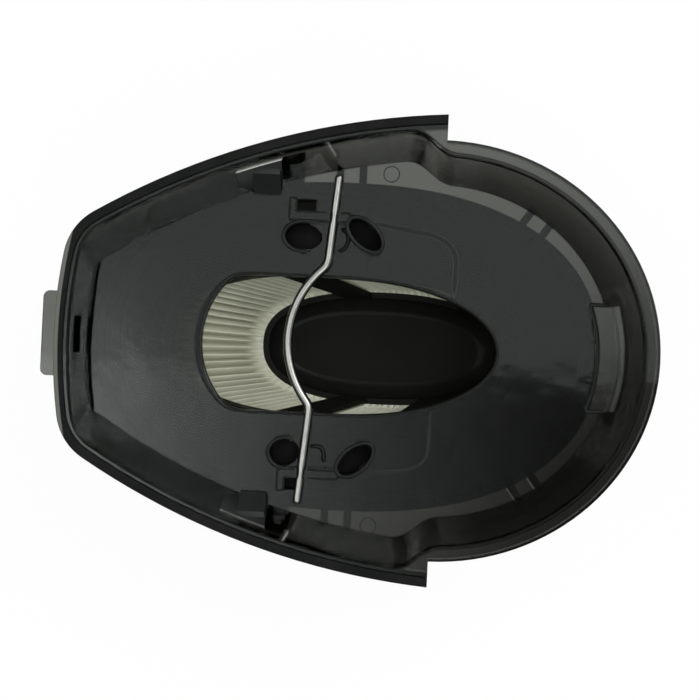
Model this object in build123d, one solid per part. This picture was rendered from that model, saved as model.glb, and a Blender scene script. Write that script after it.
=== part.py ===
from build123d import *
import os
from math import acos, atan2, cos, hypot, pi, radians, sin, sqrt, tan

# Filter unit of a handheld vacuum cleaner, lying on its back with the open side up.
# Millimetres. X runs to the round end, Y across, Z up. The origin is under the middle, on the surface.

# Tray outline, seen from the open side
round_end_x = 72.5
shoulder_x = 20.5
round_half_width = 49.2
shoulder_half_width = 55.4
side_end_x = -61.2
side_end_half_width = 29.0
side_radius = 180.0
corner_radius = 14.0
nose_x = -69.4
nose_radius = 120.0
bend_start = 3.0
bend_length = 12.0

# Tray walls
tray_depth = 21.0
floor_thickness = 2.0
wall_thickness = 1.6
wall_draft = 14.5
outer_draft = 12.5
nose_draft = 4.0
nose_outer_draft = 1.0
mouth_inset = 3.4
mouth_bevel = 0.25
flange_thickness = 2.0
flange_edge_width = 0.45
flange_edge_depth = 5.0

# Seal seat round the straight-sided half, nose flange and pull tab
seal_height = 3.5
seal_clearance = 0.1
seal_crown = 0.5
ledge_thickness = 2.0
lip_width = 0.9
nose_flange_x = -70.0
nose_flange_radius = 60.0
nose_flange_half_width = 25.0
tab_x = -72.5
tab_half_width = 10.0
tab_corner = 1.6
latch_half_width = 4.4
latch_height = 9.4
latch_below_rim = 5.6

# Window in the tray floor
window_right_x = 36.0
window_left_x = -36.3
window_half_width = 16.5
window_left_radius = 21.3
window_corner = 5.0
collar_width = 1.2
collar_gap = 0.4
collar_end_depth = 4.4
collar_end_half_width = 12.0

# Spring wire and its bearings
wire_diameter = 2.2
wire_axis_x = -7.9
wire_skew = 4.8
wire_height = 3.3
wire_top_reach = 41.8
wire_bottom_reach = 38.8
bow_top = 19.7
bow_bottom = -14.8
bow_rise = 7.3
wire_bend_radius = 4.0
wire_tip_radius = 0.9
bearing_clearance = 0.06

# Moulded wire clips, one above and one below the window
clip_bar_y = 31.1
clip_bar_width = 2.4
clip_bar_left_x = -16.3
clip_bar_right_x = -1.2
clip_leg_length = 4.4
clip_leg_width = 2.0
clip_height = 5.0
clip_wall = 1.0
snap_share = 0.82
lobe_upper_x = -12.4
lobe_lower_x = -14.6
lobe_upper_half_length = 4.4
lobe_lower_half_length = 3.5
lobe_half_width = 3.2
lobe_y = 26.2
petal_x = 2.4
petal_y = 27.2
petal_half_length = 4.8
petal_half_width = 2.5
petal_angle = 42.0
core_slot_length = 4.6
core_slot_width = 3.2

# Pocket at the foot of the wall, at the round end
pocket_half_width = 12.6
pocket_inwards = 3.0
pocket_outwards = 2.2
pocket_rim = 0.8
pocket_rim_height = 1.6

# Ribs behind the tray floor
rib_thickness = 1.9
rib_depth = 7.0
rib_length = 8.5
rib_gap = 0.3
rib_pair_gap = 5.6
side_rib_x = -1.5
end_rib_angle = 55.5
locating_left_x = -43.4
locating_right_x = 27.2
locating_half_width = 29.4
locating_corner = 8.0
locating_wall = 1.5
locating_gap = 0.5

# Shroud behind the floor
shroud_depth = 40.0
shroud_top_x = -0.6
shroud_top_length = 122.0
shroud_top_width = 79.0
shroud_bottom_x = 8.0
shroud_bottom_length = 76.0
shroud_bottom_width = 46.0
shroud_power = 2.3
shroud_wall = 2.0
shroud_base = 2.5
shroud_rim_width = 2.6
shroud_rim_height = 3.0
shroud_windows = 14
shroud_bar = 3.2
shroud_window_low = 8.0
shroud_window_high = 32.0
cradle_thickness = 1.6
cradle_clearance = 0.2
hook_slot_left_x = -29.0
hook_slot_right_x = -18.2
hook_slot_y = 37.0
hook_length = 6.4
hook_thickness = 4.1
hook_rise = 11.5
hook_tip = 1.3
hook_nose = 2.2
hook_barb = 0.8
hook_clearance = 0.4
shelf_inset = 2.6
shelf_end_x = -13.0
shelf_thickness = 2.7
shelf_gap = 0.3
mesh_thickness = 0.5
mesh_clearance = 0.1
mesh_overlap = 2.5

# Pleated element
gasket_thickness = 1.8
cage_flange = 2.0
plate_gap = 0.4
cage_wall = 1.2
cage_clearance = 0.15
mouth_x = -4.2
mouth_length = 83.4
mouth_width = 37.6
mouth_power = 2.6
element_height = 24.0
dish_x = 8.3
dish_length = 61.0
dish_width = 28.6
dish_power = 2.4
dish_radius = 5.0
dish_floor = 1.2
potting_height = 2.0
potting_rim = 1.2
pleats = 92
pleat_depth = 3.6
sheet_thickness = 0.35
strut_from = 94.0
strut_to = 106.0
scoop_to = 52.0
scoop_low_to = 74.0

# Heights worked out from the above
floor_under = shroud_depth
floor_top = floor_under + floor_thickness
rim_z = floor_top + tray_depth
seat_z = rim_z - seal_height
flange_top = floor_under - gasket_thickness
flange_under = flange_top - cage_flange
dish_top = flange_top - element_height
wire_z = floor_top + wire_height
wire_radius = wire_diameter / 2
slope = tan(radians(wall_draft))
outer_slope = tan(radians(outer_draft))
nose_slope = tan(radians(nose_draft))
nose_outer_slope = tan(radians(nose_outer_draft))


def inner_inset(z):
    """Inset of the tray wall's inner face at a height: the wall leans by its draft."""
    return mouth_inset + (rim_z - z) * slope


def outer_inset(z):
    """Inset of the tray wall's outer face at a height: it leans less, so the wall thickens to its foot."""
    return mouth_inset - wall_thickness + (rim_z - z) * outer_slope


seat_inset = outer_inset(seat_z)


def inner_nose(z):
    """Inset of the steeper nose wall's inner face at a height."""
    return mouth_inset + (rim_z - z) * nose_slope


def outer_nose(z):
    """Inset of the nose wall's outer face at a height."""
    return seat_inset + (seat_z - z) * nose_outer_slope


# Circles of the straight-sided half: the side, the nose, and the corner that touches both
chord_x = shoulder_x - side_end_x
chord_y = shoulder_half_width - side_end_half_width
chord = hypot(chord_x, chord_y)
side_lift = sqrt(side_radius**2 - (chord / 2) ** 2)
side_centre_x = (shoulder_x + side_end_x) / 2 + side_lift * chord_y / chord
side_centre_y = (shoulder_half_width + side_end_half_width) / 2 - side_lift * chord_x / chord
nose_centre_x = nose_x + nose_radius


def corner_centre(inset, nose_inset):
    """Centre of the corner arc that touches the side and nose circles, each moved in by its own inset."""
    from_side = side_radius - corner_radius
    from_nose = nose_radius - nose_inset - corner_radius + inset
    across_x = nose_centre_x - side_centre_x
    across_y = -side_centre_y
    across = hypot(across_x, across_y)
    along = (from_side**2 - from_nose**2 + across**2) / (2 * across)
    off = sqrt(from_side**2 - along**2)
    x = side_centre_x + (along * across_x - off * across_y) / across
    y = side_centre_y + (along * across_y + off * across_x) / across
    return x, y


def side_point(x, inset):
    """Point of the upper side arc at a place along X."""
    radius = side_radius - inset
    return x, side_centre_y + sqrt(radius**2 - (x - side_centre_x) ** 2)


def arc_between(centre_x, centre_y, radius, first, last):
    """Arc of a circle between two angles in radians."""
    points = []
    for angle in (first, (first + last) / 2, last):
        points.append((centre_x + radius * cos(angle), centre_y + radius * sin(angle)))
    return ThreePointArc(*points)


def straight_half_edges(start_x, inset, nose_inset):
    """Upper side arc from a place along X, corner, nose, and the same again below."""
    x, y = side_point(start_x, inset)
    corner_x, corner_y = corner_centre(inset, nose_inset)
    start_angle = atan2(y - side_centre_y, x - side_centre_x)
    side_end_angle = atan2(corner_y - side_centre_y, corner_x - side_centre_x)
    nose_end_angle = atan2(corner_y, corner_x - nose_centre_x)
    nose_arc_radius = nose_radius - nose_inset
    side = arc_between(side_centre_x, side_centre_y, side_radius - inset, start_angle, side_end_angle)
    corner = arc_between(corner_x, corner_y, corner_radius - inset, side_end_angle, nose_end_angle)
    nose = arc_between(nose_centre_x, 0, nose_arc_radius, nose_end_angle, 2 * pi - nose_end_angle)
    low_corner = arc_between(corner_x, -corner_y, corner_radius - inset, -nose_end_angle, -side_end_angle)
    low_side = arc_between(side_centre_x, -side_centre_y, side_radius - inset, -side_end_angle, -start_angle)
    return [side, corner, nose, low_corner, low_side]


def round_arc(inset, half_angle):
    """Arc of the round end's ellipse, the same angle above and below the X axis."""
    return EllipticalCenterArc(
        (shoulder_x, 0),
        round_end_x - shoulder_x - inset,
        round_half_width - inset,
        -half_angle * 180 / pi,
        arc_size=2 * half_angle * 180 / pi,
    )


def tray_wire(inset, nose_inset, z):
    """Closed tray outline inside the outer edge: round end, S bends, sides, corners and nose."""
    long_axis = round_end_x - shoulder_x - inset
    short_axis = round_half_width - inset
    angle = acos(bend_start / long_axis)
    bend_top = (shoulder_x + bend_start, short_axis * sin(angle))
    bend_low = (bend_top[0], -bend_top[1])
    join_x = shoulder_x + bend_start - bend_length
    join_top = side_point(join_x, inset)
    join_low = (join_x, -join_top[1])
    leave = (-long_axis * sin(angle), short_axis * cos(angle))
    arrive = (-(join_top[1] - side_centre_y), join_x - side_centre_x)
    upper = Spline(bend_top, join_top, tangents=[leave, arrive])
    lower = Spline(join_low, bend_low, tangents=[(-arrive[0], arrive[1]), (-leave[0], leave[1])])
    edges = [round_arc(inset, angle), upper, *straight_half_edges(join_x, inset, nose_inset), lower]
    return Pos(0, 0, z) * Wire(edges)


def inner_wire(z):
    """Outline of the tray's inside at a height."""
    return tray_wire(inner_inset(z), inner_nose(z), z)


def outer_wire(z):
    """Outline of the tray wall's outside at a height."""
    return tray_wire(outer_inset(z), outer_nose(z), z)


def straight_half_face(inset, z):
    """Area of the straight-sided half, closed by a line between the two shoulders."""
    x, y = side_point(shoulder_x, inset)
    edges = [*straight_half_edges(shoulder_x, inset, inset), Line((x, -y), (x, y))]
    return Pos(0, 0, z) * Face(Wire(edges))


def round_half_face(inset, z):
    """Area of the round half, closed by a line between its two ends."""
    y = round_half_width - inset
    edges = [round_arc(inset, pi / 2), Line((shoulder_x, y), (shoulder_x, -y))]
    return Pos(0, 0, z) * Face(Wire(edges))


def upwards(face, height):
    """Solid that stands on a flat face."""
    return extrude(face, amount=height, dir=(0, 0, 1))


def block(low, high):
    """Box between two corners."""
    size = [b - a for a, b in zip(low, high)]
    middle = [(a + b) / 2 for a, b in zip(low, high)]
    return Pos(*middle) * Box(*size)


def oval_point(centre_x, length, width, power, angle, grow=0.0):
    """Point of a superellipse, moved outwards by grow along both axes."""
    x = abs(cos(angle)) ** (2 / power) * (length / 2 + grow)
    y = abs(sin(angle)) ** (2 / power) * (width / 2 + grow)
    return centre_x + (x if cos(angle) >= 0 else -x), (y if sin(angle) >= 0 else -y)


oval_points = 28


def oval_wire(centre_x, length, width, power, z, grow=0.0):
    """Closed smooth superellipse at a height."""
    points = []
    for index in range(oval_points):
        angle = 2 * pi * index / oval_points
        points.append(oval_point(centre_x, length, width, power, angle, grow))
    return Pos(0, 0, z) * Wire([Spline(*points, periodic=True)])


def shroud_size(z):
    """Centre, length, width and power of the shroud at a height: it narrows and shifts evenly to the base."""
    share = z / shroud_depth
    first = (shroud_bottom_x, shroud_bottom_length, shroud_bottom_width)
    last = (shroud_top_x, shroud_top_length, shroud_top_width)
    return [*(a + (b - a) * share for a, b in zip(first, last)), shroud_power]


def shroud_wire(z, grow):
    """Shroud outline at a height, moved outwards by grow."""
    return oval_wire(*shroud_size(z), z, grow)


def shroud_point(z, angle, grow):
    """Point of the shroud's outline at a height."""
    x, y = oval_point(*shroud_size(z), angle, grow)
    return x, y, z


def element_share(z):
    """How far down the pleated element a height is: 0 at its flange, 1 at its dish."""
    return (flange_top - z) / element_height


def element_size(z):
    """Centre, length, width and power of the oval through the inner folds at a height."""
    share = element_share(z)
    first = (mouth_x, mouth_length, mouth_width, mouth_power)
    last = (dish_x, dish_length, dish_width, dish_power)
    return [a + (b - a) * share for a, b in zip(first, last)]


def element_wire(z, grow):
    """Oval outline of the pleated element at a height, moved outwards by grow."""
    return oval_wire(*element_size(z), z, grow)


def element_point(z, angle, grow):
    """Point of the element's oval at a height."""
    x, y = oval_point(*element_size(z), angle, grow)
    return x, y, z


def between(low_wire, high_wire):
    """Solid between two like outlines."""
    return Solid.make_loft([low_wire, high_wire], True)


def window_face(grow, z):
    """Window outline: half ellipse to the right, straight sides, flat round end to the left."""
    half = window_half_width + grow
    radius = window_left_radius + grow
    end_x = window_left_x - grow + radius - sqrt(radius**2 - half**2)
    right = EllipticalCenterArc((0, 0), window_right_x + grow, half, -90, arc_size=180)
    top = Line((0, half), (end_x, half))
    left = ThreePointArc((end_x, half), (window_left_x - grow, 0), (end_x, -half))
    bottom = Line((end_x, -half), (0, -half))
    face = Face(Wire([right, top, left, bottom]))
    corners = [v for v in face.vertices() if abs(v.X - end_x) < 1e-4]
    face = fillet(corners, window_corner)
    return Pos(0, 0, z) * face


def wire_place():
    """Where the wire's axis crosses the X axis, turned by its skew."""
    return Pos(wire_axis_x, 0, wire_z) * Rot(0, 0, -wire_skew)


def axis_rod(radius, first, last):
    """Round rod on the wire's axis between two places along it."""
    rod = extrude(Plane.XZ.offset(-first) * Circle(radius), amount=-(last - first))
    return wire_place() * rod


def clip_holes(side, grow):
    """Outlines of the round and the leaf-shaped core hole beside one clip, moved outwards by grow."""
    lobe_x = lobe_upper_x if side > 0 else lobe_lower_x
    half_length = lobe_upper_half_length if side > 0 else lobe_lower_half_length
    lobe = Pos(lobe_x, side * lobe_y) * Ellipse(half_length + grow, lobe_half_width + grow)
    leaf = Rot(0, 0, -side * petal_angle) * Ellipse(petal_half_length + grow, petal_half_width + grow)
    return lobe, Pos(petal_x, side * petal_y) * leaf


def make_clip(side):
    """One wire clip: a bar with a snap bearing, a leg, and a thin curved wall round each core hole."""
    bar_length = clip_bar_right_x - clip_bar_left_x
    bar_middle = (clip_bar_right_x + clip_bar_left_x) / 2
    bar = Pos(bar_middle, side * clip_bar_y) * Rectangle(bar_length, clip_bar_width)
    leg_x = clip_bar_left_x + clip_leg_width / 2
    leg = Pos(leg_x, side * (clip_bar_y + clip_leg_length / 2)) * Rectangle(clip_leg_width, clip_leg_length)
    lobe, leaf = clip_holes(side, 0.0)
    lobe_rim, leaf_rim = clip_holes(side, clip_wall)
    lobe_middle = lobe.center()
    towards_wire = Pos(lobe_middle.X + lobe_half_width * 2, lobe_middle.Y) * Rectangle(
        lobe_half_width * 3, lobe_half_width * 3
    )
    plan = bar + leg + (lobe_rim - lobe - towards_wire) + (leaf_rim - leaf)
    rise = floor_thickness + clip_height
    solid = Part() + [upwards(Pos(0, 0, floor_under) * face, rise) for face in plan.faces()]
    across = sorted((side * (clip_bar_y - clip_bar_width), side * (clip_bar_y + clip_bar_width)))
    bearing = axis_rod(wire_radius + bearing_clearance, across[0], across[1])
    snap = wire_place() * Pos(0, (across[0] + across[1]) / 2, clip_height / 2) * Box(
        wire_diameter * snap_share, across[1] - across[0], clip_height
    )
    return solid - bearing - snap


def clip_cutters(side):
    """Cutters through the floor beside one clip: its two core holes and a square one behind its bar."""
    slot_x = clip_bar_left_x + clip_leg_width + core_slot_length / 2
    slot_y = clip_bar_y + (clip_bar_width + core_slot_width) / 2
    slot = Pos(slot_x, side * slot_y) * Rectangle(core_slot_length, core_slot_width)
    holes = [*clip_holes(side, 0.0), slot]
    return [upwards(Pos(0, 0, floor_under) * hole, floor_thickness) for hole in holes]


def pocket_face(grow, z):
    """Curved strip along the wall's foot at the round end, moved outwards by grow."""
    foot = inner_inset(floor_top)
    ring = round_half_face(foot - pocket_outwards - grow, z)
    ring -= round_half_face(foot + pocket_inwards + grow, z)
    half = pocket_half_width + grow
    return ring & Pos(round_end_x - half, 0, z) * Rectangle(2 * half, 2 * half)


def make_ribs():
    """Pairs of short walls behind the floor, from the tray wall's foot in to the shroud's rim."""
    ribs = Part()
    foot = outer_inset(floor_under)
    rib_z = floor_under - rib_depth / 2
    for side in (1, -1):
        wall_y = side_point(side_rib_x, foot)[1]
        angle = radians(end_rib_angle)
        end_x = shoulder_x + (round_end_x - shoulder_x - foot) * cos(angle)
        end_y = (round_half_width - foot) * sin(angle)
        for step in (-0.5, 0.5):
            place = Pos(side_rib_x + step * rib_pair_gap, side * (wall_y - rib_length / 2), rib_z)
            ribs += place * Box(rib_thickness, rib_length, rib_depth)
            turned = Pos(end_x, side * end_y, rib_z) * Rot(0, 0, side * end_rib_angle)
            shifted = turned * Pos(-rib_length / 2, step * rib_pair_gap, 0)
            ribs += shifted * Box(rib_length, rib_thickness, rib_depth)
    clear = shroud_rim_width - shroud_wall + rib_gap
    low = floor_under - rib_depth - rib_thickness
    return ribs - between(shroud_wire(low, clear), shroud_wire(floor_under + rib_thickness, clear))


def locating_frame():
    """Low wall behind the floor round the element, open where the element's flange passes it."""
    length = locating_right_x - locating_left_x
    middle = (locating_right_x + locating_left_x) / 2
    outer = RectangleRounded(length, 2 * locating_half_width, locating_corner)
    inner = RectangleRounded(
        length - 2 * locating_wall, 2 * (locating_half_width - locating_wall), locating_corner - locating_wall
    )
    depth = gasket_thickness - locating_gap
    low = floor_under - depth
    frame = upwards(Pos(middle, 0, low) * (outer - inner), depth)
    passage = Face(element_wire(flange_top, pleat_depth + potting_rim + locating_gap))
    frame -= upwards(Pos(0, 0, low - flange_top) * passage, depth)
    inside = -shroud_wall - locating_gap
    return frame & between(shroud_wire(low, inside), shroud_wire(floor_under, inside))


def make_housing():
    """Smoke-grey tray with flange, seal seat, tab, window, clips, slots and the ribs behind its floor."""
    above = rim_z + wall_thickness
    flange_low = rim_z - flange_thickness
    edge_low = rim_z - flange_edge_depth
    ledge_low = seat_z - ledge_thickness
    body = between(outer_wire(floor_under), tray_wire(seat_inset, seat_inset, seat_z))
    body += upwards(Face(tray_wire(seat_inset, seat_inset, seat_z)), seal_height)
    body += upwards(straight_half_face(seat_inset, flange_low), flange_thickness)
    body += upwards(round_half_face(0, flange_low), flange_thickness)
    edge = round_half_face(0, edge_low) - round_half_face(flange_edge_width, edge_low)
    body += upwards(edge, flange_edge_depth)

    lip_inset = seat_inset + lip_width
    lip = straight_half_face(seat_inset, ledge_low) - straight_half_face(lip_inset, ledge_low)
    body += upwards(lip, rim_z - ledge_low)
    ledge = straight_half_face(0, ledge_low) - straight_half_face(lip_inset, ledge_low)
    body += upwards(ledge, ledge_thickness)
    nose_disc = Pos(nose_flange_x + nose_flange_radius, 0, ledge_low) * Circle(nose_flange_radius)
    strip = Rectangle(corner_radius, 2 * nose_flange_half_width)
    nose_flange = nose_disc & Pos(nose_flange_x + corner_radius / 2, 0, ledge_low) * strip
    tab_length = nose_x - tab_x + seat_inset
    tab = RectangleRounded(tab_length, 2 * tab_half_width, tab_corner)
    for plate in (nose_flange, Pos(tab_x + tab_length / 2, 0, ledge_low) * tab):
        body += upwards(plate, ledge_thickness)

    body += upwards(window_face(collar_width, floor_under - gasket_thickness + collar_gap), floor_thickness)
    end = Pos(window_left_x, 0) * Rectangle(2 * collar_end_half_width, 2 * collar_end_half_width)
    deep_collar = (window_face(collar_width, 0) - window_face(0, 0)) & end
    body += upwards(Pos(0, 0, floor_under - collar_end_depth) * deep_collar, collar_end_depth)
    body += locating_frame()
    body += make_ribs().solids()
    body -= between(inner_wire(floor_top), inner_wire(above))
    inside = mouth_inset + mouth_bevel
    outside = mouth_inset - 2 * mouth_bevel
    bevel_low = tray_wire(inside, inside, rim_z - 2 * mouth_bevel)
    body -= between(bevel_low, tray_wire(outside, outside, rim_z + mouth_bevel))
    body -= upwards(window_face(0, flange_under), rim_z - flange_under)
    body -= upwards(pocket_face(0, floor_top), tray_depth / 2)
    body += upwards(pocket_face(pocket_rim, floor_top) - pocket_face(0, floor_top), pocket_rim_height)

    latch_z = rim_z - latch_below_rim
    latch_low = (nose_x - latch_height, -latch_half_width, latch_z - latch_height)
    latch_high = (nose_x + inner_inset(floor_top), latch_half_width, latch_z)
    body -= block(latch_low, latch_high)
    for side in (1, -1):
        body += make_clip(side)
        body -= clip_cutters(side)
        body -= hook_slot(side)
    return body


def hook_slot(side):
    """Cutter for the opening in the floor's edge and the wall that one snap hook comes through."""
    ends = sorted((side * hook_slot_y, side * shoulder_half_width))
    low = (hook_slot_left_x, ends[0], floor_under - hook_clearance)
    high = (hook_slot_right_x, ends[1], seat_z - ledge_thickness)
    return block(low, high)


def make_seal():
    """Soft strip that lies on the ledge against the lip, rounded on top, cut square at the shoulders."""
    outer = straight_half_face(seal_clearance, seat_z)
    inner = straight_half_face(seat_inset - seal_clearance, seat_z)
    strip = upwards(outer - inner, seal_height)
    crown = strip.faces().sort_by(Axis.Z)[-1].edges()
    long_edges = [edge for edge in crown if abs(edge.center().X - shoulder_x) > seat_inset]
    return fillet(long_edges, seal_crown)


def make_wire():
    """Round wire: two straight ends on one axis and a circular bow between them."""
    middle = (bow_top + bow_bottom) / 2
    first = Line((0, wire_top_reach), (0, bow_top))
    bow = ThreePointArc((0, bow_top), (-bow_rise, middle), (0, bow_bottom))
    last = Line((0, bow_bottom), (0, -wire_bottom_reach))
    path = Wire([first, bow, last])
    bends = [v for v in path.vertices() if abs(v.Y - bow_top) < 1e-4 or abs(v.Y - bow_bottom) < 1e-4]
    path = path.fillet_2d(wire_bend_radius, bends)
    section = Plane((0, wire_top_reach, 0), z_dir=(0, -1, 0)) * Circle(wire_radius)
    rod = sweep(section, path)
    ends = rod.edges().sort_by(Axis.Y)
    return wire_place() * fillet([ends[0], ends[-1]], wire_tip_radius)


def make_shroud():
    """Oval cup with window openings, a rim, two snap hooks and a cradle under the element."""
    cup = between(shroud_wire(0, 0), shroud_wire(shroud_depth, 0))
    cup += between(
        shroud_wire(shroud_depth - shroud_rim_height, shroud_rim_width - shroud_wall),
        shroud_wire(shroud_depth, shroud_rim_width - shroud_wall),
    )
    above = shroud_depth + shroud_wall
    cup -= between(shroud_wire(shroud_base, -shroud_wall), shroud_wire(above, -shroud_wall))
    middle = shroud_size((shroud_window_low + shroud_window_high) / 2)
    bar_share = shroud_bar / oval_length(middle)
    steps = 6
    for index in range(shroud_windows):
        first = index / shroud_windows + bar_share / 2
        last = (index + 1) / shroud_windows - bar_share / 2
        angles = oval_angles(middle, [first + (last - first) * step / steps for step in range(steps + 1)])
        heights = (shroud_window_low, shroud_window_high)
        cup -= wall_opening(shroud_point, heights, angles, shroud_wall, 2 * shroud_wall)
    dish_under = dish_top - dish_radius - dish_floor - cradle_clearance
    for step in (-0.25, 0.25):
        x = dish_x + step * dish_length
        cup += block(
            (x - cradle_thickness / 2, -dish_width / 4, shroud_base / 2),
            (x + cradle_thickness / 2, dish_width / 4, dish_under),
        )
    top = floor_under - shelf_gap
    low = top - shelf_thickness
    shelf = upwards(straight_half_face(shelf_inset, low), shelf_thickness)
    shelf -= between(shroud_wire(low - shroud_wall, -shroud_wall / 2), shroud_wire(above, -shroud_wall / 2))
    cup += shelf & block((nose_x, -shoulder_half_width, low), (shelf_end_x, shoulder_half_width, top))
    for side in (1, -1):
        cup += make_hook(side)
    return cup


def make_hook(side):
    """Snap hook: a post through the slot with a sloped nose, and a barb that lies over the floor's edge."""
    inner = hook_slot_y + hook_clearance
    outer = inner + hook_thickness
    tip = hook_slot_y - hook_barb
    foot = floor_under - shelf_thickness
    catch = floor_top + shelf_gap
    top = floor_top + hook_rise
    profile = Polyline(
        (side * inner, foot),
        (side * outer, foot),
        (side * outer, top),
        (side * (outer - hook_tip), top),
        (side * tip, catch + hook_nose),
        (side * tip, catch),
        (side * inner, catch),
        close=True,
    )
    face = Plane.YZ.offset(hook_slot_right_x - hook_clearance - hook_length) * Face(Wire(profile.edges()))
    return extrude(face, amount=hook_length, dir=(1, 0, 0))


def make_mesh():
    """Thin sleeve inside the shroud wall, over the window openings."""
    low = shroud_window_low - mesh_overlap
    high = shroud_window_high + mesh_overlap
    outer_grow = -shroud_wall - mesh_clearance
    sleeve = between(shroud_wire(low, outer_grow), shroud_wire(high, outer_grow))
    inner_grow = outer_grow - mesh_thickness
    return sleeve - between(shroud_wire(low, inner_grow), shroud_wire(high, inner_grow))


def make_gasket():
    """Flat soft ring between the element's flange and the tray floor."""
    ring = Face(element_wire(flange_top, pleat_depth))
    hole = window_face(collar_width + collar_gap, flange_top)
    mouth = Face(element_wire(flange_top, 0.0))
    return upwards(ring - hole - mouth, gasket_thickness)


def make_cage():
    """Black moulding: a plate across the shroud, struts, scoop and a dish with a potting rim."""
    skin = -cage_clearance
    lining = skin - cage_wall
    cage = between(element_wire(dish_top, skin), element_wire(flange_top, skin))
    plate = Face(shroud_wire(flange_under, -shroud_wall - plate_gap))
    cage += upwards(plate, cage_flange)
    hollow = between(element_wire(dish_top, lining), element_wire(flange_top, lining))
    low = dish_top - dish_radius
    bowl = Solid.make_loft(dish_sections(lining, dish_radius, low), False)
    pan = Solid.make_loft(dish_sections(skin, dish_radius, low - dish_floor), False)
    rim = Face(element_wire(dish_top, pleat_depth + potting_rim))
    cage = cage + pan + upwards(Pos(0, 0, -potting_height) * rim, potting_height)
    cage = cage - hollow - bowl
    cage -= cage_opening(strut_to, 360 - strut_to)
    cage -= cage_opening(scoop_to, strut_from)
    cage -= cage_opening(360 - strut_from, 360 - scoop_low_to)
    return cage


def dish_sections(grow, radius, floor_z):
    """Outlines of a bowl below the element: its section follows a quarter circle."""
    sections = []
    height = dish_top - floor_z
    for step in range(5):
        angle = pi / 2 * step / 4.4
        inset = radius * (1 - cos(angle))
        z = dish_top - height * sin(angle) / sin(pi / 2 * 4 / 4.4)
        sections.append(oval_wire(dish_x, dish_length, dish_width, dish_power, z, grow - inset))
    return sections


def wall_opening(point_at, heights, angles, outside, inside):
    """Cutter through a tapering oval wall, between the first and last of the angles, along its slope."""
    wires = []
    for z in heights:
        outer = [point_at(z, angle, outside) for angle in angles]
        inner = [point_at(z, angle, -inside) for angle in reversed(angles)]
        wires.append(Wire(Polyline(*outer, *inner, close=True).edges()))
    return between(*wires)


def cage_opening(first, last):
    """Cutter for one opening in the cage wall, between two angles in degrees."""
    steps = 10
    angles = [radians(first + (last - first) * index / steps) for index in range(steps + 1)]
    return wall_opening(element_point, (dish_top, flange_under), angles, pleat_depth / 2, 3 * cage_wall)


def oval_length(size):
    """Length round a superellipse, added up in short steps."""
    steps = 720
    points = [oval_point(*size, 2 * pi * index / steps) for index in range(steps + 1)]
    return sum(hypot(b[0] - a[0], b[1] - a[1]) for a, b in zip(points, points[1:]))


def oval_angles(size, shares):
    """Angles at which rising shares of a superellipse's length are passed."""
    steps = 2880
    points = [oval_point(*size, 2 * pi * index / steps) for index in range(steps + 1)]
    total = oval_length(size)
    angles = []
    travelled = 0.0
    for index in range(steps):
        while len(angles) < len(shares) and travelled >= total * shares[len(angles)]:
            angles.append(2 * pi * index / steps)
        travelled += hypot(points[index + 1][0] - points[index][0], points[index + 1][1] - points[index][1])
    while len(angles) < len(shares):
        angles.append(2 * pi)
    return angles


def make_media():
    """Folded sheet round the cage: zigzag outlines at the flange and at the dish, with straight folds."""
    low = dish_top
    high = flange_under
    middle = element_size((low + high) / 2)
    angles = oval_angles(middle, [index / (2 * pleats) for index in range(2 * pleats)])
    half_pitch = oval_length(middle) / (2 * pleats)
    sheet = sheet_thickness / sin(atan2(half_pitch, pleat_depth))
    wires = []
    for z in (low, high):
        outer = []
        inner = []
        for index in range(2 * pleats - 1):
            fold = (pleat_depth - sheet) * (index % 2)
            inner.append(element_point(z, angles[index], fold))
            outer.append(element_point(z, angles[index], fold + sheet))
        wires.append(Wire(Polyline(*outer, *reversed(inner), close=True).edges()))
    return between(*wires)


nodes = {
    "filter_housing": make_housing(),
    "rim_seal": make_seal(),
    "cleaning_wire": make_wire(),
    "pleated_media": make_media(),
    "media_cage": make_cage(),
    "element_gasket": make_gasket(),
    "shroud": make_shroud(),
    "shroud_mesh": make_mesh(),
}

os.makedirs("parts", exist_ok=True)
for name, shape in nodes.items():
    shape.label = name
    export_step(shape, f"parts/{name}.step")
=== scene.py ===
import math

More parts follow.
